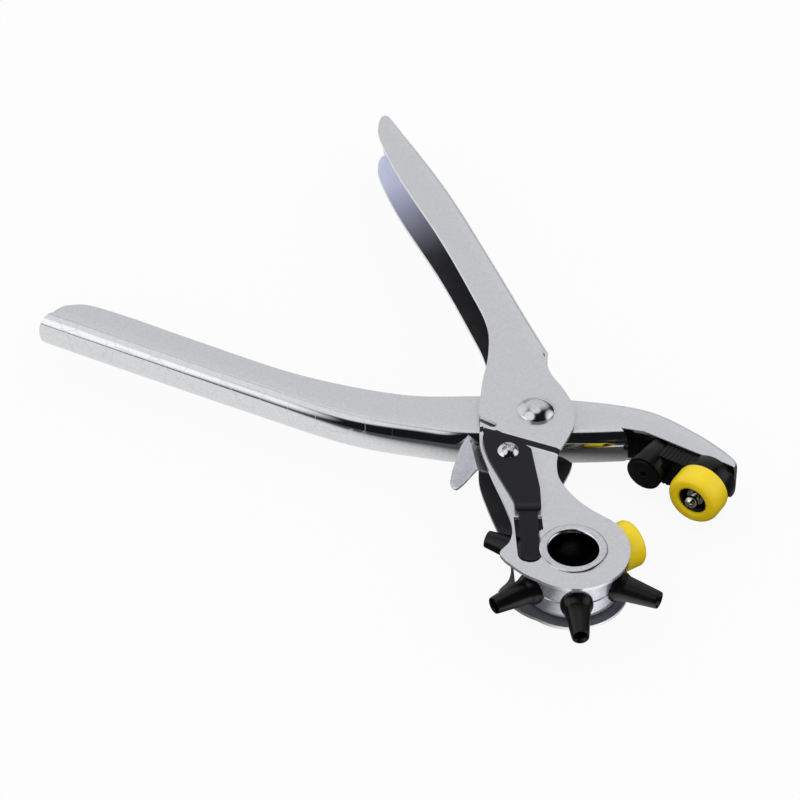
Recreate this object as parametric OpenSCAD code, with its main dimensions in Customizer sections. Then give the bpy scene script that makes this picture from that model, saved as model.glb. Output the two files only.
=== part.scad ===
// Eyelet setting pliers with a revolving punch head. Millimetres.
// Origin: centre of the hollow hub that the punch head turns on, on the middle
// plane. +Z is the hub's axis, and +Y points from the hub to the main pivot.
// The handles are shown open, as the return spring leaves them.

/* [Sheet metal] */
// Thickness of the pressed steel sheet
sheet = 1.2; // [1:0.1:1.4]
// Outer half width of the turret handle
b_half = 9.75; // [9.7:0.05:9.8]
// Outer half width of the fork that holds the turret
fork_half = 9.25; // [9.25:0.05:9.3]
// Outer half width of the jaw handle
a_half = 7.0; // [6.8:0.05:7]
// How far the jaw handle's rounded back stands outside its flat sides
a_round = 4.7; // [4.5:0.1:4.8]

/* [Main pivot] */
// Distance from the hub to the main pivot
pivot_y = 65.2; // [65:0.1:65.4]
// Radius of the rivet's shank
pivot_r = 4; // [3.8:0.1:4.2]
// Radius of the rivet's domed heads
pivot_head_r = 6.1; // [5.8:0.1:6.4]
// Height of the domed heads
pivot_head_h = 3.3; // [3:0.1:3.4]
// Angle that the handles close by
open_angle = 25.6; // [25.4:0.1:25.7]

/* [Turret] */
// Radius of the hollow hub's bore
hub_bore_r = 8; // [7.9:0.05:8]
// Radius of the hub's rolled rims
hub_rim_r = 10.98; // [10.8:0.02:11.2]
// Radius of the drum
drum_r = 15.8; // [15.6:0.1:16]
// Half the drum's thickness
drum_half = 7.4; // [7.2:0.1:7.4]
// Angle of the station that faces the jaw
station = 23.8; // [23.6:0.05:24]
// Distance from the hub's axis to a punch's cutting edge
punch_reach = 30.4; // [30:0.1:30.8]
// Outer radius at the cutting edge
punch_tip_r = 2.9; // [2.8:0.05:3]
// Hole radii of the punches, clockwise from the jaw
punch_bores = [1.5, 1.75, 2.25, 2.0, 1.25];
// Distance from the hub's axis to the setting die's face
die_reach = 24.1; // [24:0.1:24.2]
// Outer radius of the ring on the turret's die
turret_ring_r = 7.9; // [7.6:0.1:7.9]

/* [Jaw] */
// Outer radius of the ring on the jaw's die
jaw_ring_r = 9.2; // [8.8:0.1:9.2]
// Radius of the hole in both rings
ring_hole_r = 5; // [4.8:0.1:5]
// Distance between the jaw die and the punching anvil
carrier_span = 19.6; // [19.4:0.1:19.6]
// How far the punching anvil's face lies behind the jaw die's
anvil_setback = 3.2; // [3:0.1:3.4]
// Radius of the locating pin that an eyelet's barrel slides on
pin_r = 2.15; // [2:0.05:2.2]

/* [Hidden] */
$fn = 96;

pivot = [0, pivot_y];
b_in = b_half - sheet;
fork_in = fork_half - sheet;
a_in = a_half - sheet;
run_gap = 0.05;
face_gap = 0.3;
hub_wall = 1.2;
hub_r = hub_bore_r + hub_wall;
hub_rim_h = 0.6;
drum_wall = 1;
drum_rivet_r = 3.5;
rivet_head_out = 14.1;
screw_at = [-12.5, 47.6];
screw_r = 2;
spring_t = 0.8;
carrier_t = 6;
ring_back = -8.4;
carrier_back = ring_back - carrier_t;
jaw_lip = carrier_back - 0.4;
carrier_half = 5.6;

// The jaw die meets the turret's die when the handles close, so its open place
// is its closed place turned back about the main pivot.
function turned(p, a) = pivot + [
    cos(a) * (p[0] - pivot[0]) - sin(a) * (p[1] - pivot[1]),
    sin(a) * (p[0] - pivot[0]) + cos(a) * (p[1] - pivot[1])];
die_at = turned((die_reach + face_gap) * [cos(station), sin(station)], open_angle);
die_dir = station + 180 + open_angle;

// A smooth curve (Catmull-Rom) through points p, with n steps to a span
function spline(p, n = 4) = [
    for (i = [0 : len(p) - 2], j = [0 : n - 1])
        let (t = j / n, a = p[max(i - 1, 0)], b = p[i], c = p[i + 1],
            d = p[min(i + 2, len(p) - 1)])
        0.5 * (2 * b + (c - a) * t + (2 * a - 5 * b + 4 * c - d) * t * t
            + (3 * b - a - 3 * c + d) * t * t * t),
    p[len(p) - 1]];
// The line beside p, d to its right-hand side
function beside(p, d) = [
    for (i = [0 : len(p) - 1])
        let (v = p[min(i + 1, len(p) - 1)] - p[max(i - 1, 0)])
        p[i] + d * [v[1], -v[0]] / norm(v)];
function flip(p) = [for (i = [len(p) - 1 : -1 : 0]) p[i]];
function arc(c, r, a, b, n = 24) = [
    for (i = [0 : n]) c + r * [cos(a + (b - a) * i / n), sin(a + (b - a) * i / n)]];

// Jaw handle: the edge of its open side, from the grip's end to the jaw's tip
a_top = spline([[-151.5, 142.2], [-149, 143.9], [-145.8, 144.6], [-139.1, 143.3], [-126.4, 135.1],
    [-104.6, 119.1], [-73.8, 97.6], [-42.4, 83], [-17, 78.2], [12.4, 73.8]]);
// Its rounded back's edge, from the grip's end to the heel under the jaw
a_fold = spline([[-151.5, 141.8], [-137, 131.3], [-121.4, 120.1], [-90.5, 98.1],
    [-60, 77.4], [-35.1, 66.7], [-20.8, 62.5], [11.1, 57.7], [26.5, 56]]);
a_back = beside(a_fold, a_round);
a_back_in = beside(a_fold, a_round - sheet);
// The jaw's outside, from above the pivot round to the tip
jaw_out = spline([[12.4, 73.8], [28.9, 68.5], [41.1, 61.9], [52.1, 50.4],
    [58.9, 41], [60.9, 35.8], [60.6, 33]]);
jaw_in = beside(jaw_out, sheet);

// Turret handle: left edge from the grip's end to the lobe, and right edge back up
b_left = spline([[-22.9, 225.4], [-24.2, 227.1], [-26, 226.3], [-27.7, 222], [-28.3, 214],
    [-24.8, 191.6], [-16.4, 157.3], [-10.9, 128.7], [-8.4, 110.5], [-10.6, 95.4],
    [-15.1, 81.5], [-18.4, 68.5], [-19.2, 62.3]]);
b_lobe = spline([[3.9, 46.4], [7.6, 50.3], [11.3, 57.6], [12.5, 66.5], [10.8, 75],
    [8.3, 82.5], [8.4, 89.5]]);
b_right = spline([[9.7, 94.9], [6.4, 110.3], [-0.9, 146.3], [-8.7, 181.9],
    [-17.8, 212.7], [-22.9, 225.4]]);
b_right_in = beside(b_right, -sheet);
// Fork: left edge down to its corner, round the hub, and right edge back up
fork_left = spline([[-18.9, 64], [-20.2, 57.5], [-21, 50.3], [-20.1, 38.6],
    [-18, 22.7], [-17.5, 13], [-19.4, 6.5], [-23.4, 2.1]]);
fork_corner = spline([[-23.4, 2.1], [-21.4, -3.4], [-17.4, -8.8], [-13.4, -12.2]]);
fork_right = spline([[13.9, 11.6], [8.9, 17.1], [4.5, 24], [1.7, 32.5], [2.4, 40.2],
    [6.4, 48.6]]);
fork_end_r = 18.12;

module sheet_pair(outline, inside) {
    for (side = [0, 1])
        mirror([0, 0, side]) translate([0, 0, inside])
            linear_extrude(sheet) polygon(outline);
}
module strip(outer, inner, half) {
    translate([0, 0, -half]) linear_extrude(2 * half)
        polygon(concat(outer, flip(inner)));
}
// The rounded end of a web, which runs past the cheeks at the grip's end. The
// web comes from the point before, and its inner face is on the side given by
// low: 0 for the left, -sheet for the right. The end is a hair smaller than the
// web all round, so that no two faces lie in one plane.
module web_end(at, before, web_half, low) {
    run = at - before;
    inset = 0.1;
    half = web_half - inset;
    reach = 3.5;
    end_r = (half * half + reach * reach) / (2 * reach);
    translate([at[0], at[1], 0]) rotate([0, 0, atan2(run[1], run[0])]) intersection() {
        translate([-1, low + inset, -half]) cube([reach + 1, sheet - 2 * inset, 2 * half]);
        translate([reach - end_r, -5, 0]) rotate([-90, 0, 0]) cylinder(r = end_r, h = 10);
    }
}
module drilled(at, r) {
    difference() {
        children();
        translate([at[0], at[1], -20]) cylinder(r = r, h = 40);
    }
}
// Places a part whose own +Z is the direction a station of the turret points in
module at_station(angle) rotate([0, 0, angle]) rotate([0, 90, 0]) children();
// Places a part whose origin is the jaw die's face and whose +Z points to the turret
module at_jaw_die()
    translate([die_at[0], die_at[1], 0]) rotate([0, 0, die_dir]) rotate([0, 90, 0])
        children();
module between(low, high, r) translate([0, 0, low]) cylinder(r = r, h = high - low);
module turned_profile(points) rotate_extrude() polygon(points);

module turret_handle() {
    lobe_foot = [[-19.2, 62.3], [-18.9, 60.6], [-14.2, 57.4], [3.9, 46.4]];
    color("silver") difference() {
        union() {
            sheet_pair(concat(b_left, lobe_foot, b_lobe, b_right), b_in);
            strip(b_right, b_right_in, b_half);
            web_end(b_right[len(b_right) - 1], b_right[len(b_right) - 2], b_half, 0);
            sheet_pair(concat(fork_left, fork_corner,
                arc([0, 0], fork_end_r, -137.6, 39.8, 48), fork_right), fork_in);
        }
        translate([0, pivot_y, -20]) cylinder(r = pivot_r, h = 40);
        translate([0, 0, -20]) cylinder(r = hub_r, h = 40);
        translate([screw_at[0], screw_at[1], -20]) cylinder(r = screw_r + run_gap, h = 40);
        relief_slot();
        spring_window();
    }
}
module relief_slot()
    for (side = [0, 1]) mirror([0, 0, side])
        translate([-20.5, 66.2, fork_in - 1]) rotate([0, 0, -43.7])
            translate([0, -0.9, 0]) cube([8.4, 1.8, 4]);
module spring_window()
    translate([-13.6, 5.4, fork_in - 1]) rotate([0, 0, -6]) {
        translate([-3.6, -5.6, 0]) cube([7.2, 14.2, 4]);
        translate([0, 5.4, 0]) cube([6.6, 6, 4]);
        translate([0, -5.6, 0]) cylinder(r = 3.6, h = 4);
    }

module jaw_handle() {
    jaw_edge = [[57.4, 36.1], die_point(1.5, jaw_lip), die_point(-26, jaw_lip), [26.5, 56]];
    color("lightgray") drilled(pivot, pivot_r + run_gap) {
        sheet_pair(concat(a_top, jaw_out_to_tip(), jaw_edge, flip(a_fold)), a_in);
        sheet_pair(concat(a_fold, flip(a_back)), a_in);
        strip(a_back, a_back_in, a_half);
        web_end(a_back[0], a_back[1], a_half, -sheet);
        strip(jaw_out, jaw_in, a_half);
    }
}
// A point of the jaw die's own frame: across is along the carrier, out is along
// the die's axis
function die_point(across, out) = die_at
    + out * [cos(die_dir), sin(die_dir)] + across * [-sin(die_dir), cos(die_dir)];
function jaw_out_to_tip() = [for (p = jaw_out) if (p[1] > 34) p];

module pivot_rivet()
    color("gainsboro") translate([pivot[0], pivot[1], 0]) {
        between(-b_half, b_half, pivot_r);
        for (side = [0, 1]) mirror([0, 0, side]) translate([0, 0, b_half])
            rivet_head(pivot_head_r, pivot_head_h, 1);
    }
// A dome of base radius r and height h, on a short straight side
module rivet_head(r, h, side = 0) {
    rise = h - side;
    ball = (r * r + rise * rise) / (2 * rise);
    turned_profile(concat([[0, 0], [r, 0]],
        [for (i = [0 : 12]) let (a = asin(r / ball) * (1 - i / 12))
            [ball * sin(a), ball * cos(a) - ball + h]]));
}
module washer()
    translate([pivot[0], pivot[1], a_half + run_gap]) difference() {
        cylinder(r = 8, h = b_in - a_half - 2 * run_gap);
        translate([0, 0, -1]) cylinder(r = pivot_r + 2 * run_gap, h = 5);
    }
module front_washer() color("dimgray") washer();
module rear_washer() color("dimgray") mirror([0, 0, 1]) washer();

// A wire of radius r swept along path, as one closed solid with n sides
module wire(path, r, n = 8) {
    count = len(path);
    function along(i) = let (v = path[min(i + 1, count - 1)] - path[max(i - 1, 0)])
        v / norm(v);
    function side_of(i) = let (v = cross(along(i), [0.13, 0.29, 0.95])) v / norm(v);
    rings = [for (i = [0 : count - 1]) let (s = side_of(i), u = cross(along(i), s))
        for (k = [0 : n - 1]) path[i] + r * (cos(360 * k / n) * s + sin(360 * k / n) * u)];
    sides = [for (i = [0 : count - 2], k = [0 : n - 1]) let (q = (k + 1) % n)
        each [[i * n + k, i * n + q, (i + 1) * n + q], [i * n + k, (i + 1) * n + q, (i + 1) * n + k]]];
    ends = [[for (k = [n - 1 : -1 : 0]) k], [for (k = [0 : n - 1]) (count - 1) * n + k]];
    polyhedron(rings, concat(sides, ends));
}
module return_spring() {
    coil_r = 5.7;
    turns = 3.25;
    low = -3.6;
    steps = 78;
    coil = [for (i = [0 : steps]) let (a = -90 + 360 * turns * i / steps)
        [coil_r * cos(a), pivot_y + coil_r * sin(a), low - 2 * low * i / steps]];
    jaw_leg = [[-33, 64.6, low], [-12, 60.6, low], [-3, 59.7, low]];
    turret_leg = [[5.8, 72, -low], [6.4, 99, -low]];
    color("darkslategray") wire(concat(jaw_leg, coil, turret_leg), 0.75);
}

module hub_rivet()
    color("gainsboro") difference() {
        union() {
            between(-fork_half - hub_rim_h, fork_half + hub_rim_h, hub_r);
            for (side = [0, 1]) mirror([0, 0, side])
                between(fork_half, fork_half + hub_rim_h, hub_rim_r);
        }
        between(-20, 20, hub_bore_r);
    }

module drum_half_shell() {
    color("silver") difference() {
        between(0, drum_half, drum_r);
        translate([0, 0, -drum_wall]) difference() {
            cylinder(r = drum_r - drum_wall, h = drum_half);
            cylinder(r = hub_r + run_gap + drum_wall, h = drum_half);
        }
        between(-1, 20, hub_r + run_gap);
        for (i = [0 : 5]) at_station(station + 60 * i)
            translate([0, 0, 12]) cylinder(r = drum_rivet_r + run_gap, h = 6);
        // dimples that the detent spring clicks into
        for (i = [0 : 5]) rotate([0, 0, 188 + 60 * i])
            translate([13.2, 0, drum_half + 0.9]) sphere(r = 1.5, $fn = 32);
    }
}
module drum_upper() drum_half_shell();
module drum_lower() mirror([0, 0, 1]) drum_half_shell();

// A hollow punch, riveted through the drum's wall
module punch(bore_r, steps_round) {
    at_station(station - 60 * steps_round) color("black") difference() {
        union() {
            between(12.6, rivet_head_out, 4.3);
            between(rivet_head_out - 0.1, 17.4, drum_rivet_r);
            difference() {
                turned_profile([[0, 14.9], [5.35, 14.9], [5.35, 16.6], [4.9, 17.6],
                    [4.25, 18.6], [punch_tip_r, punch_reach], [0, punch_reach]]);
                rotate([0, -90, 0]) translate([0, 0, -10])
                    cylinder(r = drum_r + run_gap, h = 20);
            }
        }
        between(10, 40, bore_r);
        turned_cutting_edge(bore_r);
    }
}
module turned_cutting_edge(bore_r)
    turned_profile([[0, punch_reach - 1], [bore_r, punch_reach - 1],
        [punch_tip_r - 0.25, punch_reach + 0.01], [0, punch_reach + 0.01]]);
module punch_1() punch(punch_bores[0], 1);
module punch_2() punch(punch_bores[1], 2);
module punch_3() punch(punch_bores[2], 3);
module punch_4() punch(punch_bores[3], 4);
module punch_5() punch(punch_bores[4], 5);

module turret_die()
    color("dimgray") at_station(station) difference() {
        union() {
            between(12.6, rivet_head_out, 4.3);
            between(rivet_head_out - 0.1, 17.4, drum_rivet_r);
            between(16.3, die_reach - 1.1, ring_hole_r - run_gap);
        }
        between(18, 30, pin_r + 0.45);
        // the groove that rolls an eyelet's rim over
        translate([0, 0, die_reach - 1.1])
            rotate_extrude() translate([3.6, 0]) circle(r = 0.8);
    }
module setting_ring(low, high, r)
    difference() {
        turned_profile([[0, low], [r, low], [r, high - 1.3], [r - 1.3, high], [0, high]]);
        between(low - 1, high + 1, ring_hole_r);
    }
module turret_die_ring()
    color("gold") at_station(station) setting_ring(16.4, die_reach, turret_ring_r);

module detent_spring() {
    plate = concat(spline([[-18.3, 57.8], [-19.7, 54.5], [-19.6, 46], [-18.3, 39.2],
        [-15.7, 28.3], [-14.8, 20]]), [[-6, 20], [-5.5, 30], [-4.9, 47.7],
        [-14.3, 57.6]]);
    color("#25262b") {
        translate([0, 0, fork_half]) difference() {
            linear_extrude(spring_t) polygon(plate);
            translate([screw_at[0], screw_at[1], -1])
                cylinder(r = screw_r + run_gap, h = 5);
        }
        // ridge across the foot of the plate
        along_tongue(8.6, 0.4) polygon([[19.6, fork_half], [22, fork_half],
            [21.6, fork_half + spring_t], [20.2, fork_half + 1.7],
            [19, fork_half + 1.7], [17.6, fork_half + 0.6], [18, fork_half]]);
        // tongue that reaches down through the fork's window to the drum
        along_tongue(6, -0.2) polygon([[18.6, fork_half + 0.1], [18.8, fork_half + 1.4],
            [12, fork_half + 0.9], [0.2, fork_half - 0.5], [-2, drum_half + 1.35],
            [-2, drum_half + 0.6], [-1, drum_half + 0.6], [0.8, fork_half - 1.2],
            [12, fork_half + 0.05]]);
    }
}
// Extrudes a side profile drawn as [distance up the tongue, height], w wide
module along_tongue(w, shift)
    translate([-13.7, 0, 0]) rotate([0, 0, -8]) translate([shift - w / 2, 0, 0])
        rotate([90, 0, 90]) linear_extrude(w) children();

module spring_screw() {
    head_r = 3.7;
    head_h = 2.1;
    top = fork_half + spring_t;
    color("gainsboro") translate([screw_at[0], screw_at[1], 0]) difference() {
        union() {
            between(-fork_half - 3.2, top, screw_r);
            translate([0, 0, top]) rivet_head(head_r, head_h);
        }
        for (a = [20, 110]) rotate([0, 0, a])
            translate([-1.9, -0.35, top + head_h - 1.2]) cube([3.8, 0.7, 3]);
    }
}
module fork_spacer()
    color("dimgray") translate([screw_at[0], screw_at[1], 0]) difference() {
        between(-fork_in, a_half, 3.2);
        between(-20, 20, screw_r + run_gap);
    }
module screw_nut()
    color("silver") translate([screw_at[0], screw_at[1], 0]) difference() {
        translate([0, 0, -fork_half - 2.8]) cylinder(r = 4, h = 2.8, $fn = 6);
        between(-20, 20, screw_r);
    }

module lock_catch() {
    low = a_half + 0.1;
    thick = fork_in - low - 0.15;
    pad = concat(spline([[-16.5, 52.5], [-22.6, 59.2], [-26.3, 56], [-30, 47.8],
        [-32.8, 38.6], [-32.6, 34.2], [-30.6, 33.6], [-26.8, 37.2], [-16, 43.5]]));
    flange = spline([[-26.3, 56], [-30, 47.8], [-32.8, 38.6], [-32.6, 34.2]]);
    color("gainsboro") difference() {
        union() {
            translate([0, 0, low]) linear_extrude(thick) polygon(pad);
            translate([0, 0, 3.2]) linear_extrude(low + thick - 3.2)
                polygon(concat(flange, flip(beside(flange, -0.9))));
            translate([screw_at[0], screw_at[1], low]) cylinder(r = 5.2, h = thick);
        }
        translate([screw_at[0], screw_at[1], -1]) cylinder(r = screw_r + run_gap, h = 20);
    }
}

module jaw_block()
    color("#303035") at_jaw_die() difference() {
        translate([-a_in, -20, -19.6]) cube([2 * a_in, 18, jaw_lip + 19.6]);
        translate([0, -carrier_span / 2, -30]) cylinder(r = 2.5, h = 40);
    }
module carrier_pin()
    color("silver") at_jaw_die() translate([0, -carrier_span / 2, 0]) {
        between(-19.6, -12, 2.5);
        between(ring_back - 1.6, ring_back - 0.1, 3.6);
    }
module carrier() {
    rib_pitch = 1.4;
    color("#17171a") at_jaw_die() difference() {
        union() {
            between(carrier_back, ring_back, 8.4);
            translate([0, -carrier_span, 0])
                between(carrier_back, -anvil_setback - 0.4, 6.2);
            translate([-carrier_half, -carrier_span, carrier_back])
                cube([2 * carrier_half, carrier_span, carrier_t]);
            for (i = [0 : 7], side = [-1, 1])
                translate([side * carrier_half - 0.3, -6.6 - i * rib_pitch, carrier_back])
                    cube([0.6, 0.6, carrier_t]);
        }
        translate([0, -carrier_span / 2, 0]) {
            between(-20, 0, 2.5 + run_gap);
            between(ring_back - 1.7, 0, 3.7);
        }
        translate([0, -carrier_span, 0]) between(-anvil_setback - 1.4, 5, 5.25);
        between(-20, 0, 1.5 + run_gap);
        between(-20, ring_back - 1.15, 2.1);
    }
}
module anvil_pad()
    color("#202024") at_jaw_die() translate([0, -carrier_span, 0]) difference() {
        between(-anvil_setback - 1.4, -anvil_setback, 5.2);
        between(-20, 5, 1);
    }
module jaw_die_body()
    color("#2a2a2e") at_jaw_die() difference() {
        between(ring_back, -6, ring_hole_r - 0.03);
        between(ring_back + 1, 5, 3.4);
        between(-20, 5, 1.5 + run_gap);
    }
module jaw_die_ring() color("gold") at_jaw_die() setting_ring(ring_back, 0, jaw_ring_r);
module jaw_die_pin()
    color("gainsboro") at_jaw_die() turned_profile(concat(
        [[0, ring_back - 1.8], [2, ring_back - 1.8], [2, ring_back - 1.2],
        [1.5, ring_back - 1.2], [1.5, -3.2], [3, -3.2], [3, -2.5], [pin_r, -2.5]],
        arc([0, -0.3], pin_r, 0, 90, 12)));
module jaw_die_spring() {
    turns = 3.25;
    low = ring_back + 1.42;
    high = -3.62;
    steps = 52;
    color("silver") at_jaw_die() wire([for (i = [0 : steps]) let (a = 360 * turns * i / steps)
        [2.55 * cos(a), 2.55 * sin(a), low + (high - low) * i / steps]], 0.4, 6);
}

turret_handle();
jaw_handle();
pivot_rivet();
front_washer();
rear_washer();
return_spring();
hub_rivet();
drum_upper();
drum_lower();
punch_1();
punch_2();
punch_3();
punch_4();
punch_5();
turret_die();
turret_die_ring();
detent_spring();
spring_screw();
fork_spacer();
screw_nut();
lock_catch();
jaw_block();
carrier_pin();
carrier();
anvil_pad();
jaw_die_body();
jaw_die_ring();
jaw_die_pin();
jaw_die_spring();
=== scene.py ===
# %% [markdown]
# # A grommet setter
# This lesson gives its looks to a hand plier that punches leather and sets
# eyelets. The measured model comes in first and stays fixed. Each visible part
# is then either finished as it is, or replaced by a smoother surface that
# stands in the same place and moves with the same body.

# %% Load the measured model
import math

import bmesh
import bpy
import numpy as np
from mathutils import Matrix, Vector
from mathutils.geometry import delaunay_2d_cdt


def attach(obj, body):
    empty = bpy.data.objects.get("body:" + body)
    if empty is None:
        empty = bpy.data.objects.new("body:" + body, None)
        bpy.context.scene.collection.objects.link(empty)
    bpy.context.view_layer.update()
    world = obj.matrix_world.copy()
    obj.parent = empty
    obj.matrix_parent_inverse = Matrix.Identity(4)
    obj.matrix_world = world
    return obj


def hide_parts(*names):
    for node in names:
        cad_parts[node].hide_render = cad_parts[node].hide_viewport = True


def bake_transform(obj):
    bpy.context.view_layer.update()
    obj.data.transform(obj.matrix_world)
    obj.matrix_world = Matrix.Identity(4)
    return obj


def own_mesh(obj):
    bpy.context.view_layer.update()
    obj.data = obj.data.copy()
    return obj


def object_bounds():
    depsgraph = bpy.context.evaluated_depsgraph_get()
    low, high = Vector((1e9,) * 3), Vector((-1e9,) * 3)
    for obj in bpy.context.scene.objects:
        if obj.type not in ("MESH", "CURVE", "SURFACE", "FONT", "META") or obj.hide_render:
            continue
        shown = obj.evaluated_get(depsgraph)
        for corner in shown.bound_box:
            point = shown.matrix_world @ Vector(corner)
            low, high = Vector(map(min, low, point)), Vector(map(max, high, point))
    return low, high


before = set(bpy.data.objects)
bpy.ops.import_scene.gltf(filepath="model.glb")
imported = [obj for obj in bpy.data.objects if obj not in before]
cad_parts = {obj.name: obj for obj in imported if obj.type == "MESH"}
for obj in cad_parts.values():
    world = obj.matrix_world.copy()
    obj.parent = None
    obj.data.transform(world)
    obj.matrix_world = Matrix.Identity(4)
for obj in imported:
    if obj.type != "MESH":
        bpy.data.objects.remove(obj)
cad_low, cad_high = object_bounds()
MM = 0.001

# %% [markdown]
# ## Colours and nodes
# Colours are written as sRGB hex values, because that is how they are picked,
# and one function turns them to the linear values that shaders work in. One
# small function adds a node with its settings and its links.

# %% Colour and node helpers
def tint(code):
    """Linear RGBA of an sRGB hex colour: c/12.92 below 0.04045, else ((c+0.055)/1.055)^2.4."""
    c = np.array([int(code[i:i + 2], 16) for i in (1, 3, 5)]) / 255
    linear = np.where(c <= 0.04045, c / 12.92, ((c + 0.055) / 1.055) ** 2.4)
    return (*linear.tolist(), 1.0)


def add(tree, kind, values=None, links=None, **settings):
    """Adds a node, sets its settings and input values, and links outputs into its inputs."""
    node = tree.nodes.new(kind)
    for key, value in settings.items():
        setattr(node, key, value)
    for key, value in (values or {}).items():
        node.inputs[key].default_value = value
    for key, source in (links or {}).items():
        tree.links.new(source, node.inputs[key])
    return node


def material(name):
    """A new Principled material: returns it, its node tree, its shader and object coordinates."""
    made = bpy.data.materials.new(name)
    made.use_nodes = True
    tree = made.node_tree
    shader = tree.nodes["Principled BSDF"]
    place = add(tree, "ShaderNodeTexCoord").outputs["Object"]
    return made, tree, shader, place


def per_mm(size):
    """Noise scale for features that are size millimetres across, as coordinates are in metres."""
    return 1000 / size


# %% [markdown]
# ## The studio
# Plated steel has no colour of its own. It shows the room, so the room is the
# most important material here: a broad pale wall behind the tool for the flat
# sides, a dark room behind the viewer for the black bands in the rounded
# backs, and a window at the left. Each light is a soft-edged patch of the sky,
# and where two overlap the brighter one counts. Dull parts would look flat and
# dark in such a room, so they take an even light from all round instead.

# %% Studio light
def soft_patch(tree, way, axis, inner, outer, strength):
    """A round patch of light: smoothstep from the cosine of outer to that of inner, in degrees from axis."""
    toward = add(tree, "ShaderNodeVectorMath", {1: Vector(axis).normalized()}, {0: way},
                 operation="DOT_PRODUCT")
    rise = {"From Min": math.cos(math.radians(outer)), "From Max": math.cos(math.radians(inner)),
            "To Max": strength}
    return add(tree, "ShaderNodeMapRange", rise, {"Value": toward.outputs["Value"]},
               interpolation_type="SMOOTHSTEP").outputs["Result"]


ROOM_DARK, TENT_LIGHT = 0.012, 1.05     # glow of the dark room, and of the tent round dull parts
# each light: where it stands, how far from there it is even and where it ends, and how bright it is
LIGHTS = {
    "back wall": ((0.12, 0.76, 0.62), 20, 48, 0.68),
    "overhead": ((0.0, 0.27, 0.96), 14, 26, 0.76),
    "left of overhead": ((-0.55, -0.15, 0.82), 18, 30, 0.88),
    "left window": ((-0.94, -0.20, 0.28), 18, 30, 1.20),
    "right card": ((0.93, -0.10, 0.36), 12, 36, 0.95),
    "left wall": ((-0.80, 0.60, 0.25), 20, 55, 0.80),
    "front floor lamp": ((0.15, -0.93, 0.30), 1, 9, 0.45),
}

world = bpy.data.worlds.new("studio")
world.use_nodes = True
sky = world.node_tree
sky.nodes.clear()
way = add(sky, "ShaderNodeTexCoord").outputs["Generated"]
brightest, *others = [soft_patch(sky, way, *light) for light in LIGHTS.values()]
for patch in others:
    brightest = add(sky, "ShaderNodeMath", None, {0: brightest, 1: patch}, operation="MAXIMUM").outputs[0]
lifted = add(sky, "ShaderNodeMath", {1: ROOM_DARK}, {0: brightest}).outputs["Value"]
shade = add(sky, "ShaderNodeMix", {"A": tint("#e6e9f2"), "B": tint("#ffffff")}, {"Factor": lifted},
            data_type="RGBA")
room = add(sky, "ShaderNodeBackground", None, {"Color": shade.outputs[2], "Strength": lifted})
plain = add(sky, "ShaderNodeBackground", {"Color": tint("#fdfdfd"), "Strength": 1.0})
tent = add(sky, "ShaderNodeBackground", {"Color": tint("#ffffff"), "Strength": TENT_LIGHT})
path = add(sky, "ShaderNodeLightPath").outputs
lit = add(sky, "ShaderNodeMixShader", None,
          {0: path["Is Diffuse Ray"], 1: room.outputs[0], 2: tent.outputs[0]})
both = add(sky, "ShaderNodeMixShader", None,
           {0: path["Is Camera Ray"], 1: lit.outputs[0], 2: plain.outputs[0]})
add(sky, "ShaderNodeOutputWorld", None, {"Surface": both.outputs[0]})
bpy.context.scene.world = world
bpy.context.scene.view_settings.view_transform = "Standard"
print("the studio has", len(LIGHTS), "lights")

# %% [markdown]
# ## Camera and floor
# The camera is far off with a long lens, so the tool shows almost no
# perspective. It looks down at about 42 degrees. The floor is a pale lit table,
# as in a product studio, and to the camera it is even. Polished parts mirror a
# table that is lit from the pivot back to the grips and dark under the turret
# and in front of it, apart from a white card in front of the drum.

# %% Camera
CAMERA_AT = np.array([-0.21423, -0.93492, 0.94023])
CAMERA_WAY = Vector((0.12331, 0.73059, -0.67159)).normalized()
CAMERA_ROLL = math.radians(0.57)
SENSOR, FOCAL = 36.0, 189.0         # mm

lens = bpy.data.cameras.new("camera")
lens.sensor_width, lens.lens = SENSOR, FOCAL
lens.clip_start, lens.clip_end = 0.05, 20
camera = bpy.data.objects.new("camera", lens)
right = CAMERA_WAY.cross(Vector((0, 0, 1))).normalized()
up = right.cross(CAMERA_WAY)
across = math.cos(CAMERA_ROLL) * right + math.sin(CAMERA_ROLL) * up
upward = across.cross(CAMERA_WAY)
axes = Matrix((across, upward, -CAMERA_WAY)).transposed().to_4x4()
camera.matrix_world = Matrix.Translation(CAMERA_AT) @ axes
bpy.context.scene.collection.objects.link(camera)
bpy.context.scene.camera = camera
print("camera", round(Vector(CAMERA_AT).length, 3), "m from the origin")

# %% Floor
FLOOR_HALF = 4.0                    # m
TABLE_DARK, TABLE_LIT, TABLE_SEEN = 0.02, 0.80, 0.92
EDGE_WAY = (-0.25, 0.97, 0)         # square to the edge of the table's lit part
CARD_AT, CARD_LIGHT = (6, -36), 1.2
floor_z = cad_low.z
sheet = bpy.data.meshes.new("floor")
corners = [(-FLOOR_HALF, -FLOOR_HALF, floor_z), (FLOOR_HALF, -FLOOR_HALF, floor_z),
           (FLOOR_HALF, FLOOR_HALF, floor_z), (-FLOOR_HALF, FLOOR_HALF, floor_z)]
sheet.from_pydata(corners, [], [(0, 1, 2, 3)])
floor = bpy.data.objects.new("floor", sheet)
bpy.context.scene.collection.objects.link(floor)
paper, tree, shader, place = material("white_table_acrylic")
shader.inputs["Base Color"].default_value = tint("#484848")
shader.inputs["Roughness"].default_value = 0.9
shader.inputs["Specular IOR Level"].default_value = 0.0
shader.inputs["Emission Color"].default_value = tint("#ffffff")
seen = add(tree, "ShaderNodeLightPath").outputs["Is Camera Ray"]
inward = add(tree, "ShaderNodeVectorMath", {1: EDGE_WAY}, {0: place}, operation="DOT_PRODUCT")
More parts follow.
